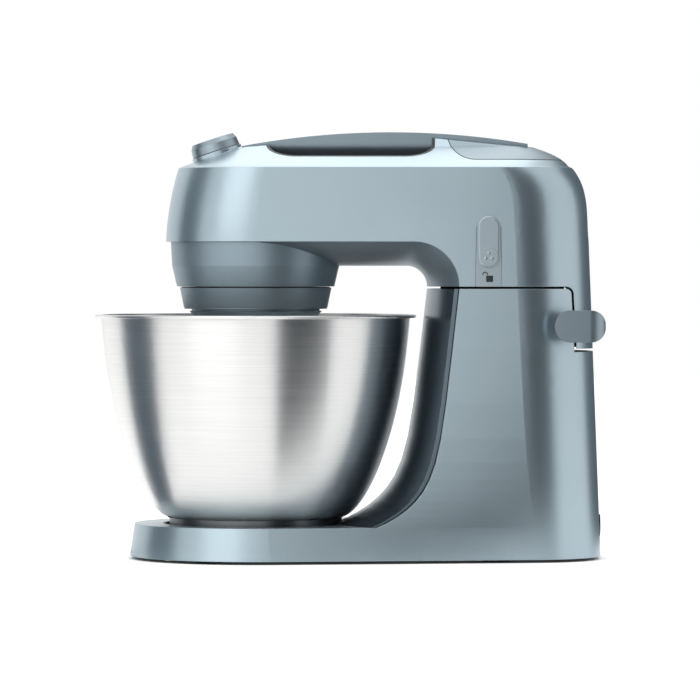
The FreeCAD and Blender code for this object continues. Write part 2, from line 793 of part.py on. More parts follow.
def arch_wire(degrees, shift, wall):
    """The section at one turn round the arch corner, from level (90) to upright (0)."""
    edge_centre = V(edge_top_x - arch_edge_r + shift, 0, head_z)
    tip_centre = V(belly_top_x - arch_belly_r + shift, 0, head_z)
    return arm_wire(on_circle(edge_centre, arch_edge_r, degrees),
                    on_circle(tip_centre, arch_belly_r + wall, degrees), wall)


def underside(wall):
    """The head's underside as a full solid: arm, arch corner and nose cup."""
    start = hub_x - belly_top_x + arch_belly_r
    arm = loft([arch_wire(90, start, wall), arch_wire(90, 0, wall)], True)
    corner = loft([arch_wire(degrees, 0, wall) for degrees in (90, 60, 30, 0)])
    low_z = head_z + (cup_floor if wall else 0)
    cup = turned([(0, low_z), (cup_low_r - wall, low_z), (cup_r - 1 - wall, arm_belly_z),
                  (cup_r - wall, arm_z), (cup_r - wall, arm_z + wall), (0, arm_z + wall)], hub_x)
    return arm.fuse([corner, cup])


# Underside moulding of the head, from the nose cup to the arch
hub_hole_r = gear_module * ring_teeth / 2 + 4.0
head_belly = underside(0).cut(underside(panel_wall)).cut(drum(hub_hole_r, 0, arm_z, hub_x))
save("head_belly", head_belly.removeSplitter())

# Head floor above the column, with hinge knuckles on the pin
floor_front = 2 * panel_wall
head_floor = head_solid(shell_wall + fit_gap).common(
    behind_belly(head_z, head_z + floor_wall, edge_top_x + floor_front, belly_top_x + floor_front, column_half + 2))
knuckle = rod(knuckle_r, hinge_x, hinge_z, knuckle_y, knuckle_y + knuckle_width)
leaf = block(hinge_x - knuckle_r, hinge_x + knuckle_r - 1.0, knuckle_y, knuckle_y + knuckle_width,
             hinge_z, head_z + floor_wall)
head_floor = head_floor.fuse(both_sides(knuckle.fuse(leaf)))
head_floor = head_floor.cut(rod(pin_r + run_gap, hinge_x, hinge_z, -reach, reach)).cut(bolt_slot)
save("head_floor", head_floor)

# Hinge bracket in the column: a cross plate with two ears that hold the pin
ear_y = knuckle_y + knuckle_width + swing_gap
plate_x = flap_top_x - 22.0
ear = rod(knuckle_r, hinge_x, hinge_z, ear_y, ear_y + ear_width)
arm_block = block(plate_x, hinge_x, ear_y, ear_y + ear_width, hinge_z - knuckle_r, hinge_z + knuckle_r)
cross_plate = column_loft(shell_wall + fit_gap).common(
    block(plate_x - 5.0, plate_x, -reach, reach, hinge_z - 25.0, cap_low_z))
hinge_bracket = cross_plate.fuse(both_sides(ear.fuse(arm_block)))
hinge_bracket = hinge_bracket.cut(rod(pin_r + run_gap, hinge_x, hinge_z, -reach, reach))
save("hinge_bracket", hinge_bracket)

# Release lever: a bar bent round the back of the head's tail, with pill-shaped sides
lever_half = column_half + lever_side_gap + lever_thick
lever_rear_x = column_rear(hinge_z) + lever_gap + lever_thick


def lever_plan(inset):
    """Plan of the lever's outer (0) or inner face, open in front."""
    half = lever_half - inset
    rear_x = lever_rear_x - inset
    plan = block(hinge_x - reach, rear_x, -half, half, hinge_z - lever_height, hinge_z + lever_height)
    corners = [edge for edge in plan.Edges if edge.BoundBox.ZLength > lever_height and edge.BoundBox.XMin > hinge_x]
    return plan.makeFillet(lever_bend_r - inset, corners)


lever_side = block(lever_front_x, lever_rear_x, -lever_half, lever_half,
                   hinge_z - lever_height / 2, hinge_z + lever_height / 2)
lever_ends = [edge for edge in lever_side.Edges if edge.BoundBox.YLength > lever_half]
lever_side = lever_side.makeFillet(lever_corner_r, lever_ends)
release_lever = lever_plan(0).cut(lever_plan(lever_thick)).common(lever_side)
pin_half = lever_half - lever_thick / 2
release_lever = release_lever.cut(rod(pin_r + run_gap, hinge_x, hinge_z, -pin_half - fit_gap, pin_half + fit_gap))
save("release_lever", release_lever)
save("hinge_pin", rod(pin_r, hinge_x, hinge_z, -pin_half, pin_half))


# Gears


def gear_wire(teeth, z, addendum, dedendum, slack):
    """Involute outline with a tooth centred on +X; slack is taken off each tooth's width."""
    pitch_r = gear_module * teeth / 2
    pressure = math.radians(20)
    base_circle = pitch_r * math.cos(pressure)
    tip_r = pitch_r + addendum * gear_module
    root_r = pitch_r - dedendum * gear_module
    start_r = max(base_circle, root_r)

    def half_angle(radius):
        turn = math.acos(min(1.0, base_circle / radius))
        return (math.pi / (2 * teeth) - slack / (2 * pitch_r)
                + math.tan(pressure) - pressure - math.tan(turn) + turn)

    def at(radius, turn):
        return V(radius * math.cos(turn), radius * math.sin(turn), z)

    edges = []
    pitch = 2 * math.pi / teeth
    for index in range(teeth):
        middle = index * pitch
        rise = [at(radius, middle - half_angle(radius)) for radius in (start_r, pitch_r, tip_r)]
        fall = [at(radius, middle + half_angle(radius)) for radius in (tip_r, pitch_r, start_r)]
        foot_in = at(root_r, middle - half_angle(start_r))
        foot_out = at(root_r, middle + half_angle(start_r))
        if start_r > root_r:
            edges.append(line(foot_in, rise[0]))
        edges += [arc(*rise), line(rise[2], fall[0]), arc(*fall)]
        if start_r > root_r:
            edges.append(line(fall[2], foot_out))
        edges.append(line(foot_out, at(root_r, middle + pitch - half_angle(start_r))))
    return Part.Wire(edges)


def gear(teeth, x, low_z, width, bore_r):
    solid = plan_prism(gear_wire(teeth, low_z, 0.95, 1.25, backlash), width)
    solid.translate(V(x, 0, 0))
    return solid.cut(drum(bore_r, low_z - 1, low_z + width + 1, x))


# Chassis: a cast plate across the head that carries the shafts and the motor
bush_r = hub_shaft_r + bush_wall
boss_r = bush_r + 5.0
boss_low_z = cup_top_z + planet_width + 4.5
chassis_high_z = chassis_z + chassis_thick
motor_bush_r = motor_shaft_r + bush_wall
jack_bush_r = jack_shaft_r + bush_wall
nose_plate_r = inner_half - swing_gap
chassis = plan_prism(plan_wire(chassis_z, nose_x + shell_wall + nose_draft * 0.3, nose_plate_r, motor_x + stator_r + 5.0,
                               stator_r + 8.0, stator_r - 4.0), chassis_thick)
chassis = chassis.fuse(drum(boss_r, boss_low_z, chassis_z, hub_x)).removeSplitter()
for bore_r, x in ((bush_r, hub_x), (jack_bush_r, jack_x), (motor_bush_r, motor_x)):
    chassis = chassis.cut(drum(bore_r, 0, reach, x))
motor_flange = 7.0
motor_screw_ring = stator_r + 2.5 + motor_flange / 2
motor_screw_places = [
    (motor_x + motor_screw_ring * math.cos(math.radians(angle)), motor_screw_ring * math.sin(math.radians(angle)))
    for angle in (60, 130)
]
for x, y in motor_screw_places:
    chassis = chassis.cut(pair(drum(screw_r, 0, reach, x, y)))
save("chassis", chassis)
save("hub_bush", ring(bush_r, hub_shaft_r + run_gap, boss_low_z, chassis_high_z, hub_x))
save("jack_bush", ring(jack_bush_r, jack_shaft_r + run_gap, chassis_z - 1.5, chassis_high_z + 1.0, jack_x))

# Ring gear, fixed on the nose cup's floor
ring_outer_r = hub_hole_r + 5.0
ring_space = plan_prism(gear_wire(ring_teeth, cup_top_z - 1, 1.25, 0.9, -backlash), planet_width + 3)
ring_space.translate(V(hub_x, 0, 0))
save("ring_gear", drum(ring_outer_r, cup_top_z, cup_top_z + planet_width + 1, hub_x).cut(ring_space))

# Planet hub: shaft, gear, carrier and the skirt under it
hub_shaft_high_z = gear_z + gear_width + 3.0
save("hub_shaft", drum(hub_shaft_r, hub_low_z, hub_shaft_high_z, hub_x))
save("hub_gear", gear(hub_teeth, hub_x, gear_z, gear_width, hub_shaft_r))
hub_plate = 4.4
tool_bore_r = tool_shaft_r + run_gap
planet_hub = turned([
    (0, hub_z), (hub_top_r, hub_z), (hub_low_r, hub_low_z), (hub_low_r - hub_wall, hub_low_z),
    (hub_top_r - hub_wall, hub_z - hub_plate), (0, hub_z - hub_plate),
], hub_x)
collar_outer_r = hub_hole_r - 1.0
planet_hub = planet_hub.fuse(ring(collar_outer_r, collar_outer_r - hub_wall, hub_z - 1, cup_top_z - 1, hub_x))
for boss_x, bore_r in ((hub_x, hub_shaft_r), (planet_x, tool_bore_r)):
    planet_hub = planet_hub.fuse(drum(bore_r + 4.0, hub_low_z, hub_z - 1, boss_x))
for boss_x, bore_r in ((hub_x, hub_shaft_r), (planet_x, tool_bore_r)):
    planet_hub = planet_hub.cut(drum(bore_r, 0, reach, boss_x))
save("planet_hub", planet_hub.removeSplitter())
skirt_plate = 2.4
neck_r = skirt_top_r - 1.6
hub_skirt = turned([
    (0, skirt_z), (skirt_low_r, skirt_z), (skirt_top_r, skirt_z + skirt_height),
    (neck_r, skirt_z + skirt_height), (neck_r, hub_low_z - 1.0), (hub_low_r - cover_gap, hub_low_z - 1.0),
    (hub_low_r - cover_gap, hub_low_z), (neck_r - hub_wall, hub_low_z),
    (neck_r - hub_wall, skirt_z + skirt_plate), (0, skirt_z + skirt_plate),
], hub_x)
hub_skirt = hub_skirt.cut(drum(tool_shaft_r + cover_gap, 0, reach, planet_x))
save("hub_skirt", hub_skirt)

# Tool drive: shaft with a collar on the carrier, planet pinion on top, cross pin for the tool below
collar_low_z = hub_z + 0.3
pinion_low_z = cup_top_z + 1.0
collar_r = tool_shaft_r + 3.0
tool_low_z = skirt_z - tool_length
cross_pin_z = skirt_z - 6.0
cross_pin = rod(cross_pin_r, planet_x, cross_pin_z, -cross_pin_half, cross_pin_half)
tool_end_z = cross_pin_z - cross_pin_r - 1.0
tool_shaft = drum(tool_shaft_r, tool_end_z, pinion_low_z + planet_width, planet_x)
tool_shaft = tool_shaft.fuse(drum(tool_end_r, tool_low_z, tool_end_z, planet_x))
tool_shaft = tool_shaft.fuse(drum(collar_r, collar_low_z, pinion_low_z, planet_x)).cut(cross_pin)
save("tool_shaft", tool_shaft.removeSplitter())
save("planet_pinion", gear(planet_teeth, planet_x, pinion_low_z, planet_width - 1, tool_shaft_r))
save("cross_pin", cross_pin)


def grooved_pulley(radius, bore_r, x):
    """Belt pulley with V grooves round it."""
    groove_count = 4
    pitch = (pulley_width - 2) / groove_count
    points = [(bore_r, pulley_z), (radius, pulley_z), (radius, pulley_z + 1)]
    for index in range(groove_count):
        low_z = pulley_z + 1 + pitch * index
        points += [(radius - 1.4, low_z + pitch / 2), (radius, low_z + pitch)]
    points += [(radius, pulley_z + pulley_width), (bore_r, pulley_z + pulley_width)]
    return turned(points, x)


# Jackshaft: belt pulley below the chassis, pinion above it
save("jack_shaft", drum(jack_shaft_r, pulley_z - 1.5, gear_z + gear_width + 1.5, jack_x))
save("jack_pulley", grooved_pulley(jack_pulley_r, jack_shaft_r, jack_x))
save("jack_pinion", gear(jack_teeth, jack_x, gear_z - 0.5, gear_width + 1, jack_shaft_r))

# Motor: shaft with fan, pulley, rotor and commutator
motor_floor_z = head_z + floor_wall
stator_low_z = chassis_high_z + 4.0
stator_high_z = stator_low_z + stator_height
frame_high_z = stator_high_z + 8.0
fan_low_z = motor_floor_z + 2.0
save("motor_shaft", drum(motor_shaft_r, fan_low_z - 1, frame_high_z + 5.0, motor_x))
save("motor_pulley", grooved_pulley(motor_pulley_r, motor_shaft_r, motor_x))
save("rotor_core", ring(rotor_r, motor_shaft_r, stator_low_z, stator_high_z, motor_x))
save("commutator", ring(rotor_r / 2, motor_shaft_r, stator_high_z + 0.5, frame_high_z - 2.0, motor_x))
fan_blades = 11
fan = ring(motor_shaft_r + 5.0, motor_shaft_r, fan_low_z, fan_low_z + fan_height, motor_x)
fan = fan.fuse(ring(fan_r, motor_shaft_r, fan_low_z, fan_low_z + 1.6, motor_x))
for index in range(fan_blades):
    blade = block(motor_x + motor_shaft_r + 3.0, motor_x + fan_r - 1, -0.8, 0.8, fan_low_z + 1, fan_low_z + fan_height)
    blade.rotate(V(motor_x, 0, 0), Z_AXIS, 360 / fan_blades * index)
    fan = fan.fuse(blade)
save("cooling_fan", fan.removeSplitter())

# Motor frame with bearings, stator, windings and brushes
frame_r = stator_r + 2.5
motor_frame = turned([
    (frame_r + motor_flange, chassis_high_z), (frame_r + motor_flange, chassis_high_z + 2.5),
    (frame_r, chassis_high_z + 2.5), (frame_r, frame_high_z + 2.5), (motor_bush_r, frame_high_z + 2.5),
    (motor_bush_r, frame_high_z), (stator_r + fit_gap, frame_high_z), (stator_r + fit_gap, chassis_high_z),
], motor_x)
motor_frame = motor_frame.cut(block(-reach, reach, -reach, -stator_r - 6.0, 0, reach))
for x, y in motor_screw_places:
    motor_frame = motor_frame.cut(pair(drum(screw_r, 0, reach, x, y)))
save("motor_frame", motor_frame)
save("motor_bearings", Part.makeCompound([
    ring(motor_bush_r, motor_shaft_r + run_gap, chassis_z, chassis_high_z, motor_x),
    ring(motor_bush_r, motor_shaft_r + run_gap, frame_high_z, frame_high_z + 2.5, motor_x),
]))
save("stator", ring(stator_r, rotor_r + air_gap, stator_low_z, stator_high_z, motor_x))
save("field_windings", Part.makeCompound([
    ring(stator_r - 3.0, rotor_r + 5.0, stator_high_z, stator_high_z + 5.0, motor_x),
    ring(stator_r - 3.0, rotor_r + 5.0, stator_low_z - 3.5, stator_low_z, motor_x),
]))
brush_low_z = stator_high_z + 1.0
brush = block(motor_x - 3.0, motor_x + 3.0, rotor_r / 2 + 0.3, rotor_r + 4.0, brush_low_z, frame_high_z)
save("carbon_brushes", pair(brush))
screws = []
for x, y in motor_screw_places:
    head = drum(screw_head_r, chassis_high_z + 2.5, chassis_high_z + 4.5, x, y)
    shank = drum(screw_r - run_gap, chassis_z - 2.0, chassis_high_z + 2.5, x, y)
    screws.append(pair(head.fuse(shank).removeSplitter()))
save("motor_screws", Part.makeCompound(screws))


def loop_wire(z, big_r, small_r):
    """Outline of a belt round the jackshaft's pulley and the motor's pulley."""
    lean = math.asin((big_r - small_r) / (motor_x - jack_x))

    def around(x, radius, turn, side):
        return V(x + radius * math.sin(turn), side * radius * math.cos(turn), z)

    big = [around(jack_x, big_r, lean, side) for side in (1, -1)]
    small = [around(motor_x, small_r, lean, side) for side in (1, -1)]
    return Part.Wire([
        arc(big[1], V(jack_x - big_r, 0, z), big[0]),
        line(big[0], small[0]),
        arc(small[0], V(motor_x + small_r, 0, z), small[1]),
        line(small[1], big[1]),
    ])


# Drive belt between the motor and the jackshaft
belt_low_z = pulley_z + 0.5
belt_width = pulley_width - 1.0
belt = plan_prism(loop_wire(belt_low_z, jack_pulley_r + belt_gap + belt_thick,
                            motor_pulley_r + belt_gap + belt_thick), belt_width)
belt = belt.cut(plan_prism(loop_wire(belt_low_z - 1, jack_pulley_r + belt_gap, motor_pulley_r + belt_gap),
                           belt_width + 2))
save("drive_belt", belt)

# Control board on posts behind the gears
board_x = jack_x + jack_pulley_r + 5.0
board_z = chassis_high_z + 12.0
board_long = 32.0
board_half = 30.0
board = block(board_x, board_x + board_long, -board_half, board_half, board_z, board_z + 1.6)
for x in (board_x + 4.0, board_x + board_long - 4.0):
    board = board.fuse(both_sides(drum(2.5, chassis_high_z, board_z + 0.5, x, board_half - 4.0)))
for x, y, high in ((8.0, -20.0, 6.0), (18.0, 0.0, 8.0), (8.0, 12.0, 5.0)):
    board = board.fuse(block(board_x + x, board_x + x + 10.0, y, y + 10.0, board_z + 1, board_z + 1.6 + high))
save("control_board", board.removeSplitter())

# Speed dial: knob with a cap, a shaft through the roof and the switch below
shaft_low = -14.0
switch_low = -22.0
save("dial_shaft", on_dial(drum(dial_bore_r - 0.5, shaft_low, dial_lift + dial_height - 3.0, 0)))
knob = turned([
    (dial_bore_r - 0.5, dial_lift), (dial_r, dial_lift), (dial_r - 0.6, dial_lift + dial_height * 0.62),
    (dial_top_r, dial_lift + dial_height), (dial_top_r - 3.0, dial_lift + dial_height),
    (dial_top_r - 3.6, dial_lift + dial_height - 3.0), (dial_bore_r - 0.5, dial_lift + dial_height - 3.0),
], 0)
save("speed_dial", on_dial(knob))
cap_r = dial_top_r - 3.9
save("dial_cap", on_dial(drum(cap_r, dial_lift + dial_height - 3.0, dial_lift + dial_height - 0.4, 0)))
switch = block(-10.0, 10.0, -10.0, 10.0, switch_low, -10.0).fuse(drum(7.0, -10.0, -6.5, 0))
switch = switch.cut(drum(dial_bore_r - 0.5 + run_gap, shaft_low - 0.3, 10, 0))
save("speed_switch", on_dial(switch.removeSplitter()))
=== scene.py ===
import bmesh
import bpy
import json
import math
from mathutils import Matrix, Vector


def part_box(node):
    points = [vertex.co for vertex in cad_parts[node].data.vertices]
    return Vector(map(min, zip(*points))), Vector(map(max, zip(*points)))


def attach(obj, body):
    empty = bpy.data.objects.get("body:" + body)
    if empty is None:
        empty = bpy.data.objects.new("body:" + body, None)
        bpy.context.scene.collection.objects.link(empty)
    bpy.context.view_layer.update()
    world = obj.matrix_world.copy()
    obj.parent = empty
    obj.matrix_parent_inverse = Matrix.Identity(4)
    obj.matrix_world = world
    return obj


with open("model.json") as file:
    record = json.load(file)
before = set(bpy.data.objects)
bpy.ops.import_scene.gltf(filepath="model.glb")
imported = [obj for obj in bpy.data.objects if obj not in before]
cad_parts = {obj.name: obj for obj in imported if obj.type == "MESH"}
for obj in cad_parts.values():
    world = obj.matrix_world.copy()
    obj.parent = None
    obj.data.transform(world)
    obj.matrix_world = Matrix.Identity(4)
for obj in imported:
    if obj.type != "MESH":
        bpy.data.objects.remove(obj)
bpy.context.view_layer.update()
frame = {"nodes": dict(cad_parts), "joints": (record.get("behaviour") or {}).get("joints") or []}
nodes = frame["nodes"]

# Studio: a white room with a pale floor, two soft lamps above and one at the front left.
# Three dark cards, hidden from the camera, give the paint and the steel something dark to mirror.
scene = bpy.context.scene
scene.view_settings.view_transform = "Standard"


def linear(hex_colour):
    """A colour written as sRGB hex, as linear RGBA."""
    parts = [int(hex_colour[i:i + 2], 16) / 255 for i in (1, 3, 5)]
    return [p / 12.92 if p <= 0.04045 else ((p + 0.055) / 1.055) ** 2.4 for p in parts] + [1.0]


def add_node(tree, kind, inputs=(), **settings):
    """Add one node, set its settings, then fill or link its inputs by name or number."""
    made = tree.nodes.new(kind)
    for key, value in settings.items():
        setattr(made, key, value)
    for key, value in dict(inputs).items():
        if isinstance(value, bpy.types.NodeSocket):
            tree.links.new(value, made.inputs[key])
        else:
            made.inputs[key].default_value = value
    return made


def shown_by_background(tree):
    """1 for the rays that see the room as a picture, 0 for the rays that light the object."""
    path = add_node(tree, "ShaderNodeLightPath")
    seen = add_node(tree, "ShaderNodeMath", {0: path.outputs["Is Camera Ray"], 1: path.outputs["Is Glossy Ray"]})
    seen = add_node(tree, "ShaderNodeMath", {0: seen.outputs[0], 1: path.outputs["Is Transmission Ray"]},
                    use_clamp=True)
    return seen.outputs[0]


world = bpy.data.worlds.new("white_room")
scene.world = world
world.use_nodes = True
room = world.node_tree
room.nodes.clear()
fill = 0.55
strength = add_node(room, "ShaderNodeMath", {0: shown_by_background(room), 1: 1 - fill, 2: fill},
                    operation="MULTIPLY_ADD")
sky = add_node(room, "ShaderNodeBackground", {"Color": (1, 1, 1, 1), "Strength": strength.outputs[0]})
add_node(room, "ShaderNodeOutputWorld", {"Surface": sky.outputs[0]})

camera_data = bpy.data.cameras.new("camera")
camera_data.lens = 254
camera_data.sensor_width = 36
camera_data.clip_end = 50
camera = bpy.data.objects.new("camera", camera_data)
camera_x, camera_y, camera_z = -0.0005, -3.61, 0.212
aim_z = 0.152
camera.location = (camera_x, camera_y, camera_z)
camera.rotation_euler = (math.radians(90) - math.atan2(camera_z - aim_z, -camera_y), 0, 0)
scene.collection.objects.link(camera)
scene.camera = camera


def finish_piece(bm, name):
    """Turn a finished bmesh into an object at the origin."""
    mesh = bpy.data.meshes.new(name)
    bm.to_mesh(mesh)
    bm.free()
    piece = bpy.data.objects.new(name, mesh)
    scene.collection.objects.link(piece)
    return piece


floor_bm = bmesh.new()
bmesh.ops.create_grid(floor_bm, x_segments=1, y_segments=1, size=6)
floor = finish_piece(floor_bm, "floor")
floor_paint = bpy.data.materials.new("white_studio_floor")
floor_paint.use_nodes = True
tree = floor_paint.node_tree
tree.nodes.clear()
floor_tone = 0.85
floor_glow = 0.7
# The floor's glow is dimmed by ambient occlusion close to the object: a painted contact shadow under and around
# the base.
painted_shadow_reach = 0.015
cover = add_node(tree, "ShaderNodeBsdfDiffuse", {"Color": (floor_tone, floor_tone, floor_tone, 1)})
painted_contact_shadow = add_node(tree, "ShaderNodeAmbientOcclusion", {"Distance": painted_shadow_reach}, samples=8)
lift = add_node(tree, "ShaderNodeMath", {0: shown_by_background(tree), 1: painted_contact_shadow.outputs["AO"]},
                operation="MULTIPLY")
lift = add_node(tree, "ShaderNodeMath", {0: lift.outputs[0], 1: floor_glow}, operation="MULTIPLY")
glow = add_node(tree, "ShaderNodeEmission", {"Color": (1, 1, 1, 1), "Strength": lift.outputs[0]})
both = add_node(tree, "ShaderNodeAddShader", {0: cover.outputs[0], 1: glow.outputs[0]})
add_node(tree, "ShaderNodeOutputMaterial", {"Surface": both.outputs[0]})
floor.data.materials.append(floor_paint)

for name, place, size_x, size_y, power, aim in (
        ("lamp_above", (0.0, -0.1, 1.5), 1.4, 0.9, 4.0, (0, 0, 0.2)),
        ("lamp_above_back", (0.0, 1.0, 1.35), 0.8, 1.0, 2.6, (0, 0, 0.25)),
        ("lamp_front_left", (-1.0, -1.6, 0.9), 1.3, 1.3, 5.0, (0, 0, 0.15))):
    lamp_data = bpy.data.lights.new(name, "AREA")
    lamp_data.shape = "RECTANGLE"
    lamp_data.size = size_x
    lamp_data.size_y = size_y
    lamp_data.energy = power
    lamp = bpy.data.objects.new(name, lamp_data)
    lamp.location = place
    lamp.rotation_euler = (Vector(aim) - Vector(place)).to_track_quat("-Z", "Y").to_euler()
    scene.collection.objects.link(lamp)

# each card lies on the floor from near the base outwards, then stands up: turn is measured from the front
card_low_z = 0.004
hub_joint = next(joint for joint in frame["joints"] if joint["name"] == "hub_spin")
bowl_axis = Vector((hub_joint["pos_m"][0], 0, card_low_z))
for name, first_turn, last_turn, first_near, last_near, far, high, tone in (
        ("card_front_right", 16, 56, 0.18, 0.48, 0.95, 0.75, "#1c2831"),
        ("card_left", -113, -76, 0.10, 0.10, 0.90, 0.75, "#586570"),
        ("card_rear_right", 108, 160, 0.40, 0.40, 0.90, 0.75, "#4f5b64")):
    card_paint = bpy.data.materials.new(name + "_paint")
    card_paint.use_nodes = True
    tree = card_paint.node_tree
    tree.nodes.clear()
    dark = add_node(tree, "ShaderNodeEmission", {"Color": linear(tone), "Strength": 1.0})
    add_node(tree, "ShaderNodeOutputMaterial", {"Surface": dark.outputs[0]})
    card_bm = bmesh.new()
    rows = []
    for first_reach, last_reach, height in ((first_near, last_near, 0), (far, far, 0), (far, far, high)):
        row = []
        for turn, reach in ((first_turn, first_reach), (last_turn, last_reach)):
            angle = math.radians(turn)
            row.append(card_bm.verts.new(
                bowl_axis + Vector((reach * math.sin(angle), -reach * math.cos(angle), height))))
        rows.append(row)
    for low, high_row in zip(rows, rows[1:]):
        card_bm.faces.new((low[0], low[1], high_row[1], high_row[0]))
    card = finish_piece(card_bm, name)
    card.data.materials.append(card_paint)
    card.visible_camera = False
    card.visible_diffuse = False
    card.visible_shadow = False
    card.visible_transmission = False


# Column and base: one moulding, sprayed with a satin metallic blue-grey.
# Fine aluminium flakes give the paint its sparkle and its long soft reflections.
def start_material(name):
    """An empty material and its node tree."""
    material = bpy.data.materials.new(name)
    material.use_nodes = True
    material.node_tree.nodes.clear()
    return material, material.node_tree


def dress(material, *names):
    """Put one finish on the named CAD nodes."""
    for name in names:
        finishes = nodes[name].data.materials
        finishes.clear()
        finishes.append(material)


def satin_metallic_paint(name, light, shade, roughness):
    """Base coat with aluminium flakes under a satin clear coat."""
    material, tree = start_material(name)
    place = add_node(tree, "ShaderNodeTexCoord").outputs["Object"]
    # flakes are 0.1 mm in life; drawn 0.7 mm wide so that they show
    flake_width, cloud_width, peel_width = 0.0007, 0.045, 0.003
    flake_share = 0.18
    rough_spread = 0.03
    flakes = add_node(tree, "ShaderNodeTexVoronoi", {"Vector": place, "Scale": 1 / flake_width})
    cloud = add_node(tree, "ShaderNodeTexNoise", {"Vector": place, "Scale": 1 / cloud_width, "Detail": 2})
    mixed = add_node(tree, "ShaderNodeMath", {0: flakes.outputs["Color"], 1: flake_share, 2: cloud.outputs[0]},
                     operation="MULTIPLY_ADD")
    tone = add_node(tree, "ShaderNodeValToRGB", {0: mixed.outputs[0]})
    tone.color_ramp.elements[0].position = 0.0
    tone.color_ramp.elements[0].color = linear(shade)
    tone.color_ramp.elements[1].position = 1.0
    tone.color_ramp.elements[1].color = linear(light)
    rough = add_node(tree, "ShaderNodeMath",
                     {0: cloud.outputs[0], 1: rough_spread, 2: roughness - rough_spread / 2},
                     operation="MULTIPLY_ADD")
    edge = add_node(tree, "ShaderNodeBevel", {"Radius": 0.0006}, samples=4)
    peel = add_node(tree, "ShaderNodeTexNoise", {"Vector": place, "Scale": 1 / peel_width})
    skin = add_node(tree, "ShaderNodeBump", {"Height": peel.outputs[0], "Strength": 0.03, "Distance": 0.0004,
                                             "Normal": edge.outputs[0]})
    shader = add_node(tree, "ShaderNodeBsdfPrincipled", {
        "Base Color": tone.outputs[0], "Metallic": 0.85, "Roughness": rough.outputs[0],
        "Normal": skin.outputs[0], "Coat Weight": 0.15, "Coat Roughness": 0.25})
    add_node(tree, "ShaderNodeOutputMaterial", {"Surface": shader.outputs[0]})
    return material


paint = satin_metallic_paint("satin_metallic_paint", "#b0c1c9", "#a6b8c1", 0.31)
dress(paint, "stand_shell", "head_shell")
cover_paint = satin_metallic_paint("matte_metallic_paint", "#96a5ad", "#8a99a2", 0.42)
dress(cover_paint, "rear_cover", "handle_bar", "release_lever")
# Underside of the arm, nose cup and planet hub: the shell's own paint, made darker as painted shade, since these
# faces look down.
belly_paint_with_painted_shade = satin_metallic_paint("satin_metallic_underside_painted_shade", "#95a5ae", "#899aa4", 0.46)
dress(belly_paint_with_painted_shade, "head_belly", "planet_hub", "hub_skirt")
# Column's inner panel, facing the bowl: a separate moulding a little darker than the shell, painted darker still
# as painted shade.
inner_panel_paint_and_painted_shade = satin_metallic_paint("inner_panel_metallic_and_painted_shade", "#6f7d86", "#64727b", 0.26)
dress(inner_panel_paint_and_painted_shade, "stand_belly")


# Bowl: spun from stainless steel, brushed round and round, with a flat flanged rim.
# The brushing draws every highlight out into an upright band.
def brushed_steel(name, light, shade, roughness, grain, drawn_out):
    """Steel with level brush lines, grain metres apart, which draw its reflections out upright."""
    material, tree = start_material(name)
    place = add_node(tree, "ShaderNodeTexCoord").outputs["Object"]
    line_length = 1 / 12
    rough_spread = 0.1
    drawn = add_node(tree, "ShaderNodeMapping",
                     {"Vector": place, "Scale": (1 / line_length, 1 / line_length, 1 / grain)})
    lines = add_node(tree, "ShaderNodeTexNoise", {"Vector": drawn.outputs[0], "Scale": 1.0, "Detail": 3})
    tone = add_node(tree, "ShaderNodeValToRGB", {0: lines.outputs[0]})
    tone.color_ramp.elements[0].position = 0.3
    tone.color_ramp.elements[0].color = linear(shade)
    tone.color_ramp.elements[1].position = 0.7
    tone.color_ramp.elements[1].color = linear(light)
    rough = add_node(tree, "ShaderNodeMath",
                     {0: lines.outputs[0], 1: rough_spread, 2: roughness - rough_spread / 2},
                     operation="MULTIPLY_ADD")
    skin = add_node(tree, "ShaderNodeBump", {"Height": lines.outputs[0], "Strength": 0.08, "Distance": 0.0002})
    round_axis = add_node(tree, "ShaderNodeTangent", direction_type="RADIAL", axis="Z")
    shader = add_node(tree, "ShaderNodeBsdfPrincipled", {
        "Base Color": tone.outputs[0], "Metallic": 1.0, "Roughness": rough.outputs[0], "Normal": skin.outputs[0],
        "Anisotropic": drawn_out, "Anisotropic Rotation": 0.25, "Tangent": round_axis.outputs[0]})
    add_node(tree, "ShaderNodeOutputMaterial", {"Surface": shader.outputs[0]})
    return material


# brush lines are 0.1 mm apart in life; drawn 0.9 mm apart so that they show
bowl_steel = brushed_steel("brushed_stainless_steel", "#e6e6e5", "#dcdcdb", 0.38, 0.0009, 0.85)
dress(bowl_steel, "bowl")
# Bowl foot: the same stainless steel, painted dark as painted shade, because the ring sits in shadow down on the
# seat.
foot_steel_painted_shade = brushed_steel("stainless_steel_painted_shade", "#77797b", "#696b6d", 0.4, 0.0009, 0.5)
dress(foot_steel_painted_shade, "bowl_foot")
shaft_steel = brushed_steel("ground_steel", "#c9cacb", "#b4b6b8", 0.28, 0.0006, 0.0)
dress(shaft_steel, "hinge_pin", "hub_shaft", "tool_shaft", "cross_pin", "jack_shaft", "motor_shaft", "dial_shaft",
      "lock_bolt", "base_screws", "motor_screws", "motor_bearings")


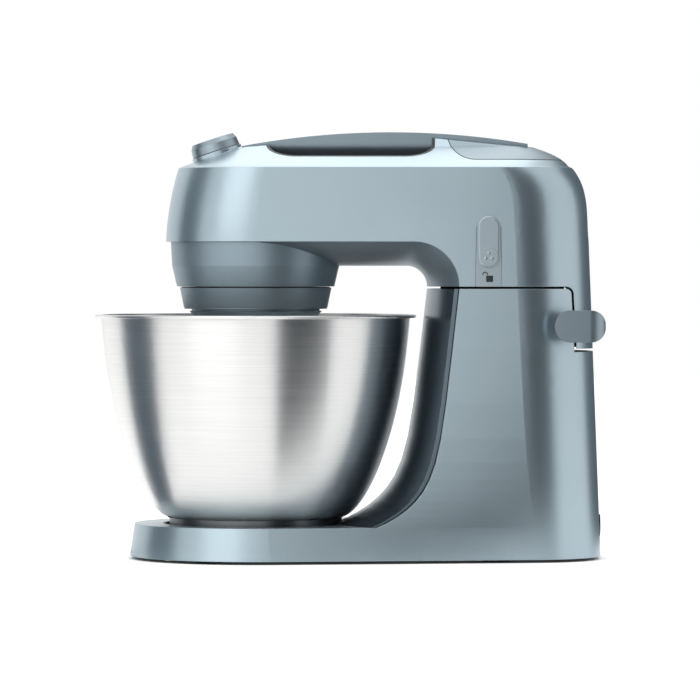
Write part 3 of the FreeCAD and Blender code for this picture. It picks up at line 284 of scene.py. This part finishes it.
# Dark mouldings: cap, base plate, finger pan, floor, seat, switch and fan, in grey plastic with a fine grain.
# Feet, rest pads, cord inlet and belt are moulded rubber, the brushes pressed carbon, the board a laminate.
# The grain scatters the light, so all of them look dull.
def moulded_plastic(name, light, shade, roughness, texture):
    """Plastic with a fine moulded texture; texture is its grain in metres."""
    material, tree = start_material(name)
    place = add_node(tree, "ShaderNodeTexCoord").outputs["Object"]
    grain = add_node(tree, "ShaderNodeTexNoise", {"Vector": place, "Scale": 1 / texture, "Detail": 4})
    tone = add_node(tree, "ShaderNodeValToRGB", {0: grain.outputs[0]})
    tone.color_ramp.elements[0].position = 0.3
    tone.color_ramp.elements[0].color = linear(shade)
    tone.color_ramp.elements[1].position = 0.75
    tone.color_ramp.elements[1].color = linear(light)
    rough_spread = 0.2
    rough = add_node(tree, "ShaderNodeMath",
                     {0: grain.outputs[0], 1: rough_spread, 2: roughness - rough_spread / 2},
                     operation="MULTIPLY_ADD")
    skin = add_node(tree, "ShaderNodeBump", {"Height": grain.outputs[0], "Strength": 0.2, "Distance": 0.0002})
    shader = add_node(tree, "ShaderNodeBsdfPrincipled", {
        "Base Color": tone.outputs[0], "Roughness": rough.outputs[0], "Normal": skin.outputs[0]})
    add_node(tree, "ShaderNodeOutputMaterial", {"Surface": shader.outputs[0]})
    return material


dark_plastic = moulded_plastic("dark_grey_abs", "#343b40", "#2b3136", 0.5, 0.0012)
dress(dark_plastic, "column_cap", "base_plate", "handle_pan", "head_floor", "bowl_seat", "speed_switch",
      "cooling_fan")
rubber = moulded_plastic("black_moulded_rubber", "#1d1e20", "#151617", 0.75, 0.0015)
dress(rubber, "rest_pads", "foot_pads", "cord_inlet", "drive_belt")
carbon = moulded_plastic("pressed_carbon", "#1b1b1b", "#111111", 0.6, 0.0008)
dress(carbon, "carbon_brushes")
board = moulded_plastic("green_board_laminate", "#2c6a42", "#235636", 0.45, 0.002)
dress(board, "control_board")


# Drive: cut steel gears on ground shafts, held in cast aluminium frames with bronze bushes.
# The motor has cores of stacked sheet iron and enamelled copper windings.
# Cast and sintered faces look dull and mottled, cut and drawn ones brighter.
def worked_metal(name, light, shade, roughness, grain):
    """Bare metal with a cast or cut surface; grain is its size in metres."""
    material, tree = start_material(name)
    place = add_node(tree, "ShaderNodeTexCoord").outputs["Object"]
    mottle = add_node(tree, "ShaderNodeTexNoise", {"Vector": place, "Scale": 1 / grain, "Detail": 5})
    tone = add_node(tree, "ShaderNodeValToRGB", {0: mottle.outputs[0]})
    tone.color_ramp.elements[0].position = 0.3
    tone.color_ramp.elements[0].color = linear(shade)
    tone.color_ramp.elements[1].position = 0.7
    tone.color_ramp.elements[1].color = linear(light)
    skin = add_node(tree, "ShaderNodeBump", {"Height": mottle.outputs[0], "Strength": 0.15, "Distance": 0.0003})
    shader = add_node(tree, "ShaderNodeBsdfPrincipled", {
        "Base Color": tone.outputs[0], "Metallic": 1.0, "Roughness": roughness, "Normal": skin.outputs[0]})
    add_node(tree, "ShaderNodeOutputMaterial", {"Surface": shader.outputs[0]})
    return material


gear_steel = worked_metal("cut_gear_steel", "#8c8d8f", "#7a7c7e", 0.35, 0.002)
dress(gear_steel, "hub_gear", "planet_pinion", "jack_pinion", "ring_gear", "jack_pulley", "motor_pulley")
cast_metal = worked_metal("cast_aluminium", "#a9abad", "#94979a", 0.5, 0.0015)
dress(cast_metal, "hinge_bracket", "chassis", "motor_frame")
core_iron = worked_metal("stacked_sheet_iron", "#5a5c60", "#4a4c50", 0.55, 0.001)
dress(core_iron, "rotor_core", "stator")
copper = worked_metal("enamelled_copper_wire", "#b5693c", "#95522c", 0.35, 0.0008)
dress(copper, "field_windings", "commutator")
bronze = worked_metal("sintered_bronze", "#b08a4e", "#94723e", 0.45, 0.001)
dress(bronze, "hub_bush", "jack_bush")

# Planet hub's upper lip: a low ring of dark plastic on top of the carrier, which keeps flour out of the cup.
# It turns with the hub and closes most of the running gap under the nose cup.
cup_low_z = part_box("head_belly")[0].z
hub_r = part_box("planet_hub")[1].y
lip_inner_r = hub_r - 0.008
lip_outer_r = hub_r - 0.0012
lip_low_z = cup_low_z - 0.0010
lip_high_z = cup_low_z - 0.0003
lip_bm = bmesh.new()
lip_corners = [(lip_inner_r, lip_low_z), (lip_outer_r, lip_low_z),
               (lip_outer_r, lip_high_z), (lip_inner_r, lip_high_z)]
lip_ring = [lip_bm.verts.new((bowl_axis.x + radius, 0, z)) for radius, z in lip_corners]
lip_edges = [lip_bm.edges.new(pair) for pair in zip(lip_ring, lip_ring[1:] + lip_ring[:1])]
bmesh.ops.spin(lip_bm, geom=lip_ring + lip_edges, cent=(bowl_axis.x, 0, 0), axis=(0, 0, 1), angle=2 * math.pi,
               steps=96, use_merge=True)
bmesh.ops.recalc_face_normals(lip_bm, faces=lip_bm.faces)
hub_lip = finish_piece(lip_bm, "hub_lip")
hub_lip.data.materials.append(dark_plastic)
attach(hub_lip, "hub")

# Padlock sign below the slider: an open padlock, pad-printed in dark ink on the slider's panel.
# It has a square body and a shackle that is swung out to the left.
slider_low, slider_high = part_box("lock_slider")
slider_mid = (slider_low.x + slider_high.x) / 2
panel_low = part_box("lock_panel")[0]
sign_ink = 0.00012
sign_right, sign_up = 0.0006, 0.0057
sign_place = Vector((slider_mid + sign_right, panel_low.y - sign_ink / 2, panel_low.z + sign_up))
body_size = (0.0050, sign_ink, 0.0046)
shackle_r = 0.0017
shackle_left, shackle_up = 0.0032, 0.0030
shackle_centre = sign_place + Vector((-shackle_left, 0, shackle_up))
shackle_end_place = shackle_centre + Vector((shackle_r, 0, 0))
shackle_end_size = (0.0008, sign_ink, 0.0004)
sign_bm = bmesh.new()
bmesh.ops.create_cube(sign_bm, size=1, matrix=Matrix.Translation(sign_place) @ Matrix.Diagonal((*body_size, 1)))
shackle_end = bmesh.ops.create_cube(sign_bm, size=1, matrix=Matrix.Translation(shackle_end_place)
                                    @ Matrix.Diagonal((*shackle_end_size, 1)))
end_face = max((face for vert in shackle_end["verts"] for face in vert.link_faces),
               key=lambda face: face.calc_center_median().z)
bmesh.ops.spin(sign_bm, geom=[end_face, *end_face.edges, *end_face.verts], cent=shackle_centre, axis=(0, -1, 0),
               angle=math.pi, steps=14)
bmesh.ops.recalc_face_normals(sign_bm, faces=sign_bm.faces)
padlock_sign = finish_piece(sign_bm, "padlock_sign")
ink = moulded_plastic("dark_pad_printing_ink", "#2a3238", "#22292e", 0.5, 0.0006)
padlock_sign.data.materials.append(ink)
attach(padlock_sign, "head")

# Thumb button on the slider: a shallow round disc with three studs for grip.
# Slider, button and panel are moulded in the same light metallic plastic.
button_margin = 0.0008
button_draft = 0.0005
button_thick = 0.0009
button_r = (slider_high.x - slider_low.x) / 2 - button_margin
button_place = Vector((slider_mid, slider_low.y, slider_low.z + button_r + button_margin))
button_bm = bmesh.new()
bmesh.ops.create_cone(button_bm, cap_ends=True, segments=64, radius1=button_r, radius2=button_r - button_draft,
                      depth=button_thick,
                      matrix=Matrix.Translation(button_place) @ Matrix.Rotation(math.radians(90), 4, "X"))
stud_r = 0.0011
stud_flatness = 0.35
stud_ring_r = 0.0026
for turn in (90, 210, 330):
    angle = math.radians(turn)
    stud_place = button_place + Vector((stud_ring_r * math.cos(angle), -button_thick / 2,
                                        stud_ring_r * math.sin(angle)))
    bmesh.ops.create_uvsphere(button_bm, u_segments=16, v_segments=8, radius=stud_r,
                              matrix=Matrix.Translation(stud_place) @ Matrix.Diagonal((1, stud_flatness, 1, 1)))
slider_button = finish_piece(button_bm, "slider_button")
slider_paint = satin_metallic_paint("light_metallic_plastic", "#aebbc2", "#a0aeb6", 0.32)
slider_button.data.materials.append(slider_paint)
dress(slider_paint, "lock_slider", "lock_panel")
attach(slider_button, "slider")

# Speed dial: a smooth moulded knob in a darker metallic finish.
# Its cap is pressed into the top.
dial_paint = satin_metallic_paint("grey_metallic_dial", "#98a6ae", "#8c9aa3", 0.36)
dress(dial_paint, "speed_dial", "dial_cap")

# Bayonet notches, pressed into the bowl's lower edge where it locks into the seat.
# The plastic seat shows through a real notch, so each is drawn as a flat dark bead let into the edge.
notch_half_size = (0.0016, 0.0042, 0.0013)
notch_ring_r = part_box("bowl_foot")[1].y + 0.0025
notch_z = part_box("bowl")[0].z + 0.0016
notch_bm = bmesh.new()
for turn in (199, 311, 75):
    notch_place = (Matrix.Translation((bowl_axis.x, 0, notch_z))
                   @ Matrix.Rotation(math.radians(turn), 4, "Z") @ Matrix.Translation((notch_ring_r, 0, 0)))
    bmesh.ops.create_uvsphere(notch_bm, u_segments=24, v_segments=12, radius=1,
                              matrix=notch_place @ Matrix.Diagonal((*notch_half_size, 1)))
bowl_notches = finish_piece(notch_bm, "bowl_notches")
bowl_notches.data.materials.append(dark_plastic)
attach(bowl_notches, "bowl")
